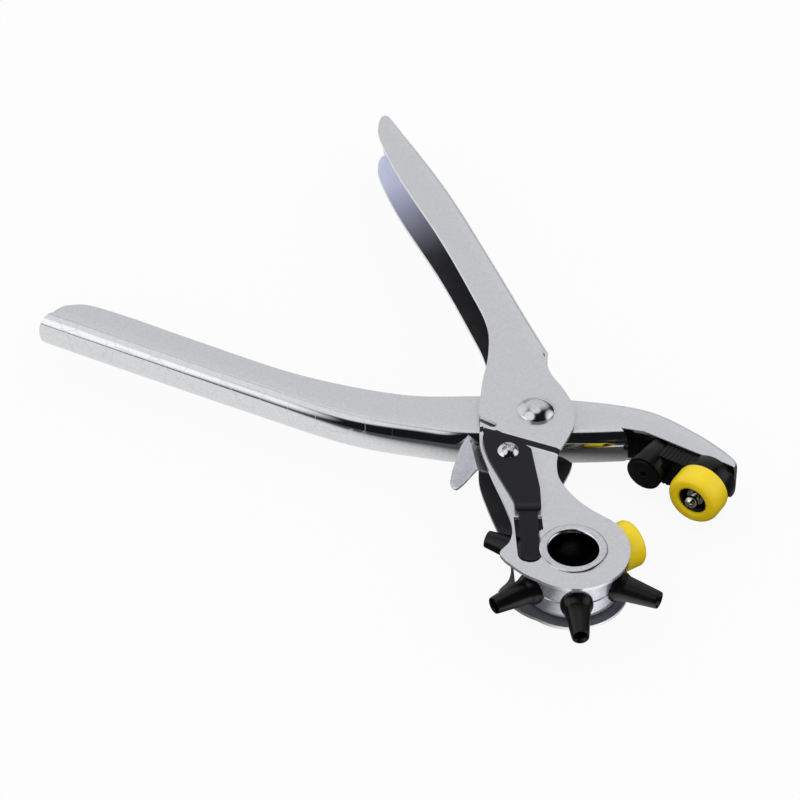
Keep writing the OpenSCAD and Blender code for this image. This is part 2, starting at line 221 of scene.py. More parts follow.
fade = {"From Min": 24 * MM, "From Max": 80 * MM, "To Min": TABLE_DARK, "To Max": TABLE_LIT}
table = add(tree, "ShaderNodeMapRange", fade, {"Value": inward.outputs["Value"]},
            interpolation_type="SMOOTHSTEP")
card_at = (CARD_AT[0] * MM, CARD_AT[1] * MM, floor_z)
away = add(tree, "ShaderNodeVectorMath", {1: card_at}, {0: place}, operation="DISTANCE")
card = add(tree, "ShaderNodeMapRange", {"From Min": 34 * MM, "From Max": 16 * MM, "To Max": CARD_LIGHT},
           {"Value": away.outputs["Value"]})
mirrored_glow = add(tree, "ShaderNodeMath", None, {0: table.outputs["Result"], 1: card.outputs["Result"]},
                    operation="MAXIMUM")
glow = add(tree, "ShaderNodeMix", {"B": TABLE_SEEN}, {"Factor": seen, "A": mirrored_glow.outputs["Value"]})
tree.links.new(glow.outputs["Result"], shader.inputs["Emission Strength"])
sheet.materials.append(paper)
print("floor at", round(floor_z * 1000, 2), "mm")

# %% [markdown]
# ## Finishes
# The pressed parts are mild steel, plated and tumbled: a satin metal with a
# faint unevenness a few millimetres across. The turned parts are plated and
# bright. The punches and the detent spring are blackened steel, the carrier is
# a black moulding, and the two rings are a yellow plastic.

# %% Plated steels
def plated(name, colour, flecks, roughness, spread, dent_mm, dent_depth):
    """Plated steel with darker flecks of 1 mm. Noise 7 mm across moves the roughness by spread either way,
    and dents dent_mm across and dent_depth deep bend the reflections slowly, with fine grit on top."""
    made, tree, shader, place = material(name)
    shader.inputs["Metallic"].default_value = 1.0
    speckle = add(tree, "ShaderNodeTexNoise", {"Scale": per_mm(1.0), "Detail": 3.0, "Roughness": 0.6},
                  {"Vector": place})
    pale = add(tree, "ShaderNodeMapRange", {"From Min": 0.32, "From Max": 0.62},
               {"Value": speckle.outputs["Fac"]})
    tone = add(tree, "ShaderNodeMix", {"A": tint(flecks), "B": tint(colour)},
               {"Factor": pale.outputs["Result"]}, data_type="RGBA")
    tree.links.new(tone.outputs[2], shader.inputs["Base Color"])
    patches = add(tree, "ShaderNodeTexNoise", {"Scale": per_mm(7), "Detail": 4.0, "Roughness": 0.6},
                  {"Vector": place})
    rough = add(
        tree, "ShaderNodeMapRange",
        {"From Min": 0.3, "From Max": 0.7, "To Min": roughness - spread, "To Max": roughness + spread},
        {"Value": patches.outputs["Fac"]})
    dents = add(tree, "ShaderNodeTexNoise", {"Scale": per_mm(dent_mm), "Detail": 1.0}, {"Vector": place})
    grit = add(tree, "ShaderNodeTexNoise", {"Scale": per_mm(0.5), "Detail": 2.0}, {"Vector": place})
    slow = add(tree, "ShaderNodeBump", {"Strength": 1.0, "Distance": dent_depth * MM},
               {"Height": dents.outputs["Fac"]})
    fine = add(tree, "ShaderNodeBump", {"Strength": 0.35, "Distance": 0.004 * MM},
               {"Height": grit.outputs["Fac"], "Normal": slow.outputs["Normal"]})
    tree.links.new(rough.outputs["Result"], shader.inputs["Roughness"])
    tree.links.new(fine.outputs["Normal"], shader.inputs["Normal"])
    return made


# zinc-nickel plate on pressed sheet, tumbled: satin on the flats, brighter where it is rounded
satin_plate = plated("satin_plated_sheet_steel", "#e5e6e8", "#dcdddf", 0.20, 0.05, 14, 0.035)
SCATTER = 0.28      # share of light that satin plate scatters instead of mirroring
satin_plate.node_tree.nodes["Principled BSDF"].inputs["Metallic"].default_value = 1 - SCATTER
# the same plate on turned and riveted parts, which come out bright
bright_plate = plated("bright_nickel_plated_steel", "#e9eaec", "#dadbdd", 0.09, 0.03, 6, 0.01)
# the same again on the drum, which is drawn from sheet and a little duller
drum_plate = plated("nickel_plated_drawn_steel", "#d3d5dc", "#bfc1c9", 0.14, 0.06, 5, 0.05)
drum_plate.node_tree.nodes["Principled BSDF"].inputs["Metallic"].default_value = 1 - SCATTER
# painted shade: the wall deep in the hollow hub gets a dark finish that stands for the shade in the bore
painted_bore_shade = plated("hub_bore_painted_shade", "#26262c", "#1a1a1f", 0.22, 0.06, 6, 0.02)


def crazed(name, colour):
    """Satin plate whose rounded back is buffed, and crazed at the grip: thin pale lines where cells of 11 mm
    meet, bent by 6 mm of slow noise. The back is where a point is nearer the middle plane than the flats."""
    made = plated(name, colour, "#dcdddf", 0.17, 0.05, 14, 0.03)
    tree, shader = made.node_tree, made.node_tree.nodes["Principled BSDF"]
    place = add(tree, "ShaderNodeTexCoord").outputs["Object"]
    warp = add(tree, "ShaderNodeTexNoise", {"Scale": per_mm(12)}, {"Vector": place})
    bent = add(tree, "ShaderNodeVectorMath", {"Scale": 6 * MM}, {0: warp.outputs["Color"]}, operation="SCALE")
    moved = add(tree, "ShaderNodeVectorMath", None, {0: place, 1: bent.outputs["Vector"]})
    cells = add(tree, "ShaderNodeTexVoronoi", {"Scale": per_mm(11)}, {"Vector": moved.outputs["Vector"]},
                feature="DISTANCE_TO_EDGE")
    line = add(tree, "ShaderNodeMapRange", {"From Min": 0.006, "From Max": 0.02, "To Min": 0.5, "To Max": 0},
               {"Value": cells.outputs["Distance"]})
    parts = add(tree, "ShaderNodeSeparateXYZ", None, {0: place}).outputs
    grip = add(tree, "ShaderNodeMapRange", {"From Min": -46 * MM, "From Max": -64 * MM},
               {"Value": parts["X"]})
    tall = add(tree, "ShaderNodeMath", None, {0: parts["Z"]}, operation="ABSOLUTE")
    back = add(tree, "ShaderNodeMapRange", {"From Min": 6.9 * MM, "From Max": 6.5 * MM},
               {"Value": tall.outputs[0]})
    where = add(tree, "ShaderNodeMath", None, {0: grip.outputs[0], 1: back.outputs[0]}, operation="MULTIPLY")
    shown = add(tree, "ShaderNodeMath", None, {0: where.outputs[0], 1: line.outputs[0]}, operation="MULTIPLY")
    plate = shader.inputs["Base Color"].links[0].from_socket
    pale = add(tree, "ShaderNodeMix", {"B": tint("#c6c9d0")}, {"A": plate, "Factor": shown.outputs[0]},
               data_type="RGBA")
    dry = add(tree, "ShaderNodeMath", {1: 0.85}, {0: shown.outputs[0]}, operation="MULTIPLY")
    mirror = add(tree, "ShaderNodeMix", {"A": 1 - SCATTER, "B": 1.0}, {"Factor": back.outputs[0]})
    metal = add(tree, "ShaderNodeMath", None, {0: mirror.outputs["Result"], 1: dry.outputs[0]},
                operation="SUBTRACT")
    # the back is buffed: its roughness falls to two fifths
    satin = shader.inputs["Roughness"].links[0].from_socket
    buffed = add(tree, "ShaderNodeMath", {1: 0.4}, {0: satin}, operation="MULTIPLY")
    gloss = add(tree, "ShaderNodeMix", None, {"Factor": back.outputs[0], "A": satin, "B": buffed.outputs[0]})
    tree.links.new(gloss.outputs["Result"], shader.inputs["Roughness"])
    tree.links.new(pale.outputs[2], shader.inputs["Base Color"])
    tree.links.new(metal.outputs[0], shader.inputs["Metallic"])
    return made


worn_plate = crazed("crazed_satin_plated_steel", "#e5e6e8")
print("plated steels made")

# %% Blackened steel, black moulding and yellow plastic
def dull(name, colour, lit, roughness, spread, grain_mm, depth, metallic=0.0):
    """A dull solid: its colour drifts to lit over 5 mm, and a grain of grain_mm and depth roughens it."""
    made, tree, shader, place = material(name)
    drift = add(tree, "ShaderNodeTexNoise", {"Scale": per_mm(5), "Detail": 3.0}, {"Vector": place})
    tone = add(tree, "ShaderNodeMix", {"A": tint(colour), "B": tint(lit)}, {"Factor": drift.outputs["Fac"]},
               data_type="RGBA")
    rough = add(tree, "ShaderNodeMapRange", {"To Min": roughness - spread, "To Max": roughness + spread},
                {"Value": drift.outputs["Fac"]})
    grain = add(tree, "ShaderNodeTexNoise", {"Scale": per_mm(grain_mm), "Detail": 2.0}, {"Vector": place})
    bump = add(tree, "ShaderNodeBump", {"Strength": 0.5, "Distance": depth * MM},
               {"Height": grain.outputs["Fac"]})
    tree.links.new(tone.outputs[2], shader.inputs["Base Color"])
    tree.links.new(rough.outputs["Result"], shader.inputs["Roughness"])
    tree.links.new(bump.outputs["Normal"], shader.inputs["Normal"])
    shader.inputs["Metallic"].default_value = metallic
    return made


# black oxide on turned punches: an oiled, slightly glossy black
black_oxide = dull("black_oxide_steel", "#050506", "#0c0c0e", 0.30, 0.06, 0.6, 0.02)
# black oxide on spring sheet: a smoother charcoal
blued_spring = dull("blued_spring_steel", "#0f0f13", "#16151a", 0.30, 0.04, 0.4, 0.006)
# moulded glass-filled nylon, which is glossy where the mould was polished
black_nylon = dull("moulded_black_nylon", "#040405", "#08080a", 0.24, 0.06, 0.8, 0.01)
for finish, shine in ((black_oxide, 0.36), (blued_spring, 0.24), (black_nylon, 0.32)):
    finish.node_tree.nodes["Principled BSDF"].inputs["Specular IOR Level"].default_value = shine
# painted shade along the step below the pivot: a dark, slightly rough steel that stands for the shade at the
# step
step_painted_shade = dull("step_painted_shade_steel", "#0c0c0e", "#1c1c20", 0.4, 0.06, 0.4, 0.01, metallic=0.3)
# moulded polypropylene: an even yellow that looks soft, because some light goes in and comes out again
yellow_plastic = dull("moulded_yellow_polypropylene", "#f6d40e", "#fbdc18", 0.36, 0.04, 0.7, 0.006)
yellow_shader = yellow_plastic.node_tree.nodes["Principled BSDF"]
yellow_shader.inputs["Subsurface Weight"].default_value = 0.25
yellow_shader.inputs["Subsurface Radius"].default_value = (1.0, 0.7, 0.1)
yellow_shader.inputs["Subsurface Scale"].default_value = 1.2 * MM
print("dull finishes made")

# %% [markdown]
# ## Inside the channels
# The inside of a folded channel lies in shade, and that shade is painted on: the
# inside of the sheet has a finish of its own, pale and lilac at the grip's open
# tip, a little paler near the fork, and dark steel farther in. Two ramps along the
# tool's length do that.

# %% Inside of the channels
# painted shade: the channels' inside is dark far in, and it turns pale where the channel opens
inside_painted_shade = dull("channel_inside_painted_shade", "#38383c", "#4c4c52", 0.34, 0.06, 0.8, 0.01, metallic=0.3)
tree, shader = inside_painted_shade.node_tree, inside_painted_shade.node_tree.nodes["Principled BSDF"]
place = add(tree, "ShaderNodeTexCoord").outputs["Object"]
length = add(tree, "ShaderNodeSeparateXYZ", None, {0: place}).outputs["Y"]
open_end = add(tree, "ShaderNodeMapRange", {"From Min": 170 * MM, "From Max": 211 * MM}, {"Value": length})
fork_end = add(tree, "ShaderNodeMapRange", {"From Min": 32 * MM, "From Max": 20 * MM, "To Max": 0.15},
               {"Value": length})
shade_lifts_at_ends = add(tree, "ShaderNodeMath", None, {0: open_end.outputs[0], 1: fork_end.outputs[0]},
                 operation="MAXIMUM")
steel = shader.inputs["Base Color"].links[0].from_socket
inner = add(tree, "ShaderNodeMix", {"B": tint("#e0e2f4")}, {"A": steel, "Factor": shade_lifts_at_ends.outputs[0]},
            data_type="RGBA")
tree.links.new(inner.outputs[2], shader.inputs["Base Color"])
print("inside finish made")

# %% [markdown]
# ## Tools for making surfaces
# A surface here is a grid of points worked out in whole arrays: a profile
# turned about an axis, a section carried along a path, or a flat blank cut to
# an outline. All are drawn in millimetres in the part's own frame.

# %% Curves and profiles
def curve(points, steps=10):
    """Catmull-Rom curve: 0.5(2b + (c-a)t + (2a-5b+4c-d)t^2 + (3b-a-3c+d)t^3) between b and c."""
    p = np.asarray(points, float)
    a, b, c, d = np.vstack([p[:1], p[:-2]]), p[:-1], p[1:], np.vstack([p[2:], p[-1:]])
    t = np.linspace(0, 1, steps, endpoint=False)[None, :, None]
    a, b, c, d = (q[:, None, :] for q in (a, b, c, d))
    made = 0.5 * (2 * b + (c - a) * t + (2 * a - 5 * b + 4 * c - d) * t**2 + (3 * b - a - 3 * c + d) * t**3)
    return np.vstack([made.reshape(-1, p.shape[1]), p[-1:]])


def sideways(line):
    """Unit normals to the right of a flat line, from each point's two neighbours."""
    v = np.vstack([line[1:], line[-1:]]) - np.vstack([line[:1], line[:-1]])
    return np.column_stack([v[:, 1], -v[:, 0]]) / np.linalg.norm(v, axis=1)[:, None]


def eased(profile, radius, ring=False, steps=4):
    """Rounds each corner c of a profile with (1-t)^2 a + 2t(1-t) c + t^2 b, where a and b lie radius before
    and after it, or 0.45 of its shorter side."""
    p = np.asarray(profile, float)
    before, after = np.roll(p, 1, 0) - p, np.roll(p, -1, 0) - p
    long_before, long_after = (np.linalg.norm(v, axis=1)[:, None] for v in (before, after))
    reach = np.minimum(radius, 0.45 * np.minimum(long_before, long_after))
    a, b = p + before / long_before * reach, p + after / long_after * reach
    t = np.linspace(0, 1, steps)[None, :, None]
    made = (1 - t) ** 2 * a[:, None] + 2 * t * (1 - t) * p[:, None] + t**2 * b[:, None]
    if ring:
        return made.reshape(-1, 2)
    return np.vstack([p[:1], made[1:-1].reshape(-1, 2), p[-1:]])


def dome(radius, height, base=0.0, steps=14):
    """Profile of a spherical cap from its rim to its top: ball radius (r^2 + h^2) / 2h."""
    ball = (radius**2 + height**2) / (2 * height)
    a = np.linspace(math.asin(radius / ball), 0, steps)
    return np.column_stack([ball * np.sin(a), base + ball * np.cos(a) - ball + height])


# %% Surfaces
def grid(points, around=False, flip=False):
    """Quads between neighbouring points[i, j]; around joins the last column to the first."""
    rows, columns = points.shape[:2]
    i = np.arange(rows * columns).reshape(rows, columns)
    if around:
        i = np.column_stack([i, i[:, :1]])
    quads = np.stack([i[:-1, :-1], i[1:, :-1], i[1:, 1:], i[:-1, 1:]], -1).reshape(-1, 4)
    return points.reshape(-1, 3), quads[:, ::-1] if flip else quads


def turned(profile, place=None, sides=96):
    """A profile of (radius, height) turned about +Z: (r cos a, r sin a, h). Its outer side runs upward."""
    p = np.asarray(profile, float)
    a = np.linspace(0, 2 * math.pi, sides, endpoint=False)
    points = np.stack([p[:, :1] * np.cos(a), p[:, :1] * np.sin(a), p[:, 1:] + 0 * a], -1)
    points, quads = grid(points, around=True, flip=True)
    return (points if place is None else place(points)), quads


def at_station(angle):
    """Places points whose +Z is the way that a station of the turret points in."""
    c, s = math.cos(math.radians(angle)), math.sin(math.radians(angle))
    turn = np.array([[0, -s, c], [0, c, s], [-1, 0, 0]])
    return lambda p: p @ turn.T


def put(origin, turn=np.eye(3)):
    """Places points by a turn and then a shift."""
    return lambda p: p @ np.asarray(turn).T + np.asarray(origin, float)


def swept(path, radius, sides=12):
    """A round wire along a path: path + r (cos a s + sin a u), with s and u square to the path's run."""
    path = np.asarray(path, float)
    along = np.gradient(path, axis=0)
    along /= np.linalg.norm(along, axis=1)[:, None]
    s = np.cross(along, [0.13, 0.29, 0.95])
    s /= np.linalg.norm(s, axis=1)[:, None]
    u = np.cross(along, s)
    a = np.linspace(0, 2 * math.pi, sides, endpoint=False)[None, :, None]
    rings = path[:, None] + radius * (np.cos(a) * s[:, None] + np.sin(a) * u[:, None])
    ends = [np.repeat(path[i][None, None], sides, 1) for i in (0, -1)]
    return grid(np.concatenate([ends[0], rings, ends[1]]), around=True, flip=True)


def within(points, loop):
    """Even-odd rule: a point is within a loop if a ray to the right crosses it an odd number of times."""
    x, y = points[:, :1], points[:, 1:2]
    a, b = loop, np.roll(loop, -1, 0)
    rise = np.where(b[:, 1] == a[:, 1], 1e-12, b[:, 1] - a[:, 1])
    crossed = ((a[:, 1] > y) != (b[:, 1] > y)) & (x < (b[:, 0] - a[:, 0]) * (y - a[:, 1]) / rise + a[:, 0])
    return crossed.sum(1) % 2 == 1


def blank(outline, holes=(), spacing=2.0, also=None):
    """A flat blank cut to an outline round its holes: a constrained triangulation of the loops, of a grid of
    inner points, and of the points of also."""
    loops = [np.asarray(q, float) for q in (outline, *holes)]
    edges, start = [], 0
    for loop in loops:
        i = np.arange(len(loop))
        edges += (np.column_stack([i, np.roll(i, -1)]) + start).tolist()
        start += len(loop)
    rim = np.vstack(loops)
    low, high = loops[0].min(0), loops[0].max(0)
    x, y = np.meshgrid(np.arange(low[0], high[0], spacing), np.arange(low[1], high[1], spacing))
    inner = np.column_stack([x.ravel(), y.ravel()])
    clear = lambda p, others, gap: p[np.linalg.norm(p[:, None] - others[None], axis=2).min(1) > gap]
    if also is not None:
        inner = np.vstack([clear(inner, also, 0.5 * spacing), also])
    inner = clear(inner[within(inner, loops[0])], rim, 0.45 * spacing)
    points = np.vstack([rim, inner])
    made = delaunay_2d_cdt([Vector(p) for p in points.tolist()], edges, [], 0, 1e-6)
    flat, faces = np.array([tuple(p) for p in made[0]]), np.array(made[2])
    middle = flat[faces].mean(1)
    keep = within(middle, loops[0])
    for hole in loops[1:]:
        keep &= ~within(middle, hole)
    faces = faces[keep]
    a, b, c = (flat[faces[:, k]] for k in range(3))
    area = (b[:, 0] - a[:, 0]) * (c[:, 1] - a[:, 1]) - (b[:, 1] - a[:, 1]) * (c[:, 0] - a[:, 0])
    faces[area < 0] = faces[area < 0][:, ::-1]
    return flat, faces


# %% Pieces
def piece(name, surfaces, body, finish, stands_for=(), smooth=35, wall=0.0, edge=0.0, inside=None):
    """Joins surfaces into one mesh, welds it, and gives it a wall, soft edges, a body and a finish.
    A wall may have another finish inside, and a piece that bends between two bodies has no body here."""
    points = np.vstack([s[0] for s in surfaces]) * MM
    faces, start = [], 0
    for s in surfaces:
        faces += (np.asarray(s[1]) + start).tolist()
        start += len(s[0])
    mesh = bpy.data.meshes.new(name)
    mesh.from_pydata(points.tolist(), [], faces)
    work = bmesh.new()
    work.from_mesh(mesh)
    bmesh.ops.remove_doubles(work, verts=work.verts, dist=2e-6)
    bmesh.ops.dissolve_degenerate(work, edges=work.edges, dist=1e-7)
    loose = [v for v in work.verts if not v.link_faces]
    bmesh.ops.delete(work, geom=loose, context="VERTS")
    work.to_mesh(mesh)
    work.free()
    mesh.shade_smooth()
    mesh.set_sharp_from_angle(angle=math.radians(smooth))
    mesh.materials.append(finish)
    made = bpy.data.objects.new(name, mesh)
    bpy.context.scene.collection.objects.link(made)
    if wall:
        solid = made.modifiers.new("wall", "SOLIDIFY")
        solid.thickness, solid.offset = wall * MM, -1
        if inside:
            mesh.materials.append(inside)
            solid.material_offset = 1
    if edge:
        soften(made, edge)
    if body:
        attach(made, body)
    if stands_for:
        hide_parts(*stands_for)
    print(name, len(mesh.vertices), "points", len(mesh.polygons), "faces")
    return made


def soften(made, width, segments=2, angle=38):
    """Rounds the sharp edges of an object by width millimetres."""
    bevel = made.modifiers.new("edge", "BEVEL")
    bevel.width, bevel.segments = width * MM, segments
    bevel.limit_method, bevel.angle_limit = "ANGLE", math.radians(angle)
    bevel.harden_normals = True
    bevel.use_clamp_overlap = True


def finished(node, finish, edge):
    """Gives a measured part a finish, welds its loose triangles and softens its edges."""
    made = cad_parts[node]
    made.data.materials.clear()
    made.data.materials.append(finish)
    weld = made.modifiers.new("weld", "WELD")
    weld.merge_threshold = 1e-6
    soften(made, edge, angle=32)


# %% [markdown]
# ## The turret handle
# One blank of 1.2 mm sheet is folded into a channel for the grip, and its two
# cheeks run on past the pivot as the fork that holds the turret. Just below the
# pivot each cheek is sheared and set down by 1.15 mm along a slanting line, and
# from there it rises slowly to the fork's height. A flat blank is cut to the
# outline first, then its height is worked out at each point, and a web with
# rounded folds joins the two cheeks.

# %% Measures of the sheet metal
SHEET = 1.2                                         # mm, as is every length from here on
PIVOT, SCREW_AT = np.array([0.0, 65.2]), np.array([-12.5, 47.6])
TURRET_HALF, FORK_HALF, JAW_HALF = 9.75, 9.25, 7.0  # from the middle plane to the outer faces
TURRET_FOLD, JAW_FOLD, NOSE_FOLD = 2.4, 4.7, 3.0    # how far each web stands out from its fold line
STEP_FROM, STEP_TO = np.array([-14.2, 57.4]), np.array([3.9, 46.4])
STEP_WIDTH, STEP_DROP, STEP_RISE = 1.9, 1.15, 13.0  # the step, its depth, and the run back up to the fork
SHADE_BAND_WIDTH = 1.6                                       # width of the band of painted shade below the step
FORK_ROUND, HUB_SEAT, RIVET_SEAT = 18.12, 9.4, 4.05

grip_left = curve([[-22.9, 225.4], [-24.2, 227.1], [-26, 226.3], [-27.7, 222], [-28.3, 214], [-24.8, 191.6],
                   [-16.4, 157.3], [-10.9, 128.7], [-8.4, 110.5], [-10.6, 95.4], [-15.1, 81.5], [-18.4, 68.5],
                   [-18.9, 64]])
grip_right = curve([[9.7, 94.9], [6.4, 110.3], [-0.9, 146.3], [-8.7, 181.9], [-17.8, 212.7], [-22.9, 225.4]])
lobe_right = curve([[3.4, 44.6], [7.6, 50.3], [11.3, 57.6], [12.5, 66.5], [10.8, 75], [8.3, 82.5],
                    [7.9, 89.5]])
fork_left = curve([[-18.9, 64], [-20.2, 57.5], [-21, 50.3], [-20.1, 38.6], [-18, 22.7], [-17.5, 13],
                   [-19.4, 6.5], [-23.4, 2.1], [-22.6, -1.4], [-21.4, -3.4], [-17.4, -8.8], [-13.4, -12.2]])
fork_turn = np.radians(np.linspace(-137.6, 39.8, 90))
fork_round = FORK_ROUND * np.column_stack([np.cos(fork_turn), np.sin(fork_turn)])
fork_right = curve([[13.9, 11.6], [8.9, 17.1], [4.5, 24], [1.7, 32.5], [2.1, 39.5], [3.4, 44.6]])
print("outlines of", len(grip_left) + len(fork_left), "points")

# %% Folding tools
def smooth_step(t):
    """0 below 0, 1 above 1, and 3t^2 - 2t^3 between."""
    t = np.clip(t, 0, 1)
    return t * t * (3 - 2 * t)


def joggled(p):
    """Height of the cheek's outer face: it drops by STEP_DROP over STEP_WIDTH, then rises to FORK_HALF."""
    along = (STEP_TO - STEP_FROM) / np.linalg.norm(STEP_TO - STEP_FROM)
    below = (p - STEP_FROM) @ np.array([along[1], -along[0]])
    drop = STEP_DROP * np.clip(below / STEP_WIDTH, 0, 1)
    rise = (STEP_DROP - TURRET_HALF + FORK_HALF) * smooth_step((below - STEP_WIDTH) / STEP_RISE)
    return TURRET_HALF - drop + rise


def cheeks(outline, holes, height, spacing=2.0, also=None):
    """Two mirrored blanks: their outer faces are at plus and minus height(x, y)."""
    flat, faces = blank(outline, holes, spacing, also)
    h = height(flat)
    return [(np.column_stack([flat, h]), faces), (np.column_stack([flat, -h]), faces[:, ::-1])]


def soft_fold(half, radius, turns=9, flats=13):
    """A web's section as (out, height): a quarter round of the given radius at each side of a flat."""
    phi = np.linspace(0, math.pi / 2, turns)
    flat = np.linspace(half - radius, radius - half, flats)[1:-1]
    out, high = radius * np.sin(phi), half - radius * (1 - np.cos(phi))
    return np.column_stack([np.r_[out, radius + 0 * flat, out[::-1]], np.r_[high, flat, -high[::-1]]])


def round_back(half, depth, steps=33):
    """A web's section as half an ellipse: (depth cos a, half sin a)."""
    a = np.linspace(math.pi / 2, -math.pi / 2, steps)
    return np.column_stack([depth * np.cos(a), half * np.sin(a)])


def folded_web(path, section, end=0.0, start=0.0, narrow=None):
    """A section carried along a path, out to the path's right. Past an end of the path it runs on as a
    rounded tongue, by end * (1 - |height / half|^2.6)^(1/2.6). narrow scales how far out each point's section
    stands."""
    out, high = section[:, 0], section[:, 1]
    scale = np.ones(len(path)) if narrow is None else narrow
    edge = path[:, None] + sideways(path)[:, None] * (scale[:, None] * out)[:, :, None]
    points = np.concatenate([edge, np.broadcast_to(high[None, :, None], (*edge.shape[:2], 1))], 2)
    made = [points]
    past = (1 - np.abs(high / high.max()) ** 2.6).clip(0) ** (1 / 2.6)
    for reach, at, back in ((end, -1, -2), (start, 0, 1)):
        if reach:
            run = (path[at] - path[back]) / np.linalg.norm(path[at] - path[back])
            t = np.linspace(0, 1, 6)[1:]
            tongue = np.repeat(points[at][None], len(t), 0)
            tongue[:, :, :2] += (reach * t[:, None] * past)[:, :, None] * run
            made = [*made, tongue] if at == -1 else [tongue[::-1], *made]
    return [grid(np.concatenate(made), flip=True)]


def placed_loop(at, turn, points):
    """A flat loop given in its own axes, turned by degrees and moved to a place."""
    c, s = math.cos(math.radians(turn)), math.sin(math.radians(turn))
    return np.asarray(points, float) @ np.array([[c, s], [-s, c]]) + np.asarray(at, float)


# %% Turret handle
TIP_RUN = 14        # the fold runs out to almost nothing over this length, as the cheek's tip is rounded
tip_gap = np.linalg.norm(grip_right - grip_right[-1], axis=1)
fold_share = 0.06 + 0.94 * smooth_step(tip_gap / TIP_RUN)
fold_line = grip_right - sideways(grip_right) * (TURRET_FOLD * fold_share)[:, None]
cheek_outline = np.vstack([
    grip_left[1:-1], fork_left[:-1], fork_round[1:-1], fork_right[:-1], lobe_right, fold_line])
relief_slot = placed_loop((-20.5, 66.2), -43.7, [
    [1.6, -1.4], [7.6, -1.5], [8.7, -0.7], [8.8, 0.5], [8.0, 1.1], [1.6, 1.0]])
# the window that the detent's tongue dips through: a slot with a round end, and wider at its other end
half_round = np.radians(np.linspace(180, 360, 17))
window = placed_loop((-13.6, 5.4), -6, np.vstack([
    np.column_stack([3.9 * np.cos(half_round), -5.6 + 3.9 * np.sin(half_round)]),
    [[3.9, 0], [3.9, 4.6], [5.2, 5.4], [5.2, 11.4], [-3.9, 11.4], [-3.9, 3.0]]]))
once_round = np.radians(np.linspace(0, 360, 65)[:-1])
ring_of_points = np.column_stack([np.cos(once_round), np.sin(once_round)])
hub_hole = HUB_SEAT * ring_of_points
step_run = STEP_TO - STEP_FROM
step_down = np.array([step_run[1], -step_run[0]]) / np.linalg.norm(step_run)
# more points near the step, in rows along it, so that its faces come out straight
rows = [-0.5, 0.0, 0.4, 0.8, 1.2, SHADE_BAND_WIDTH, STEP_WIDTH, 2.6, 3.6]
across_step, along_step = np.meshgrid(rows, np.linspace(-0.25, 1.05, 52))
step_points = STEP_FROM + along_step.reshape(-1, 1) * step_run + across_step.reshape(-1, 1) * step_down
turret_handle = piece(
    "turret_handle_shell",
    cheeks(cheek_outline, [relief_slot, window, hub_hole], joggled, 2.2, step_points)
    + folded_web(fold_line, soft_fold(TURRET_HALF, TURRET_FOLD), end=3.2, narrow=fold_share),
    "turret_frame", satin_plate, ["turret_handle"],
    wall=SHEET, edge=0.28, inside=inside_painted_shade)

# %% Painted shade at the step
turret_handle.data.materials.append(step_painted_shade)
shade_slot = len(turret_handle.data.materials) - 1
shaded_face_count = 0
# painted shade: cheek faces in a band just below the step line take the dark finish
for face in turret_handle.data.polygons:
    x, y, z = np.array(face.center) / MM
    below = (np.array([x, y]) - STEP_FROM) @ step_down
    on_cheek = abs(z) > JAW_HALF and 40 < y < 62
    if 0 < below < SHADE_BAND_WIDTH and on_cheek:
        face.material_index = shade_slot
        shaded_face_count += 1
print(shaded_face_count, "faces carry painted shade")

# %% [markdown]
# ## The jaw handle
# The second blank is folded the other way: its open side faces the first
# handle, and its back is nearly half round, which is kind to the palm. Ahead of
# the pivot a second web closes the outside of the jaw, down to its tip.

# %% Places in the jaw
def spun(p, degrees):
    """A point turned about the main pivot, by c x - s y and s x + c y."""
    c, s = math.cos(math.radians(degrees)), math.sin(math.radians(degrees))
    return PIVOT + (np.asarray(p, float) - PIVOT) @ np.array([[c, s], [-s, c]])


STATION, OPEN_ANGLE = 23.8, 25.6    # degrees: the way of the working station, and how far the jaw opens
DIE_REACH = 24.4                    # from the turret's axis to where the two dies meet
station_way = np.array([math.cos(math.radians(STATION)), math.sin(math.radians(STATION))])
DIE_AT = spun(DIE_REACH * station_way, OPEN_ANGLE)
die_turn = math.radians(STATION + 180 + OPEN_ANGLE)
DIE_WAY = np.array([math.cos(die_turn), math.sin(die_turn)])
DIE_SIDE = np.array([-DIE_WAY[1], DIE_WAY[0]])


def die_point(across, out):
    """A point of the jaw die's frame: across is along the carrier, and out is the way that the die faces."""
    return DIE_AT + out * DIE_WAY + across * DIE_SIDE


def at_die(across=0.0):
    """Places points whose +Z is the way that the jaw die faces, at a distance across the carrier."""
    turn = np.column_stack([[0, 0, -1], [*DIE_SIDE, 0], [*DIE_WAY, 0]])
    return lambda p: p @ turn.T + np.append(die_point(across, 0), 0)


back_fold = curve([[-151.5, 141.8], [-137, 131.3], [-121.4, 120.1], [-90.5, 98.1], [-60, 77.4],
                   [-35.1, 66.7], [-20.8, 62.5], [11.1, 57.7], [26.5, 56]])
open_edge = curve([[-151.5, 142.2], [-149, 143.9], [-145.8, 144.6], [-139.1, 143.3], [-126.4, 135.1],
                   [-104.6, 119.1], [-73.8, 97.6], [-42.4, 83], [-17, 78.2], [12.4, 73.8]])
nose = curve([[12.4, 73.8], [28.9, 68.5], [41.1, 61.9], [52.1, 50.4], [57.8, 42.6], [60.3, 38.2],
              [61.2, 35.0], [60.8, 32.9], [59.6, 31.6]])
NOSE_RUN = 9        # the web narrows over this length before the jaw's tip
nose_gap = np.linalg.norm(nose - nose[-1], axis=1)
nose_share = 0.3 + 0.7 * smooth_step(nose_gap / NOSE_RUN)
nose_fold = nose + sideways(nose) * (NOSE_FOLD * nose_share)[:, None]
print("jaw die at", DIE_AT.round(2), "facing", DIE_WAY.round(3))

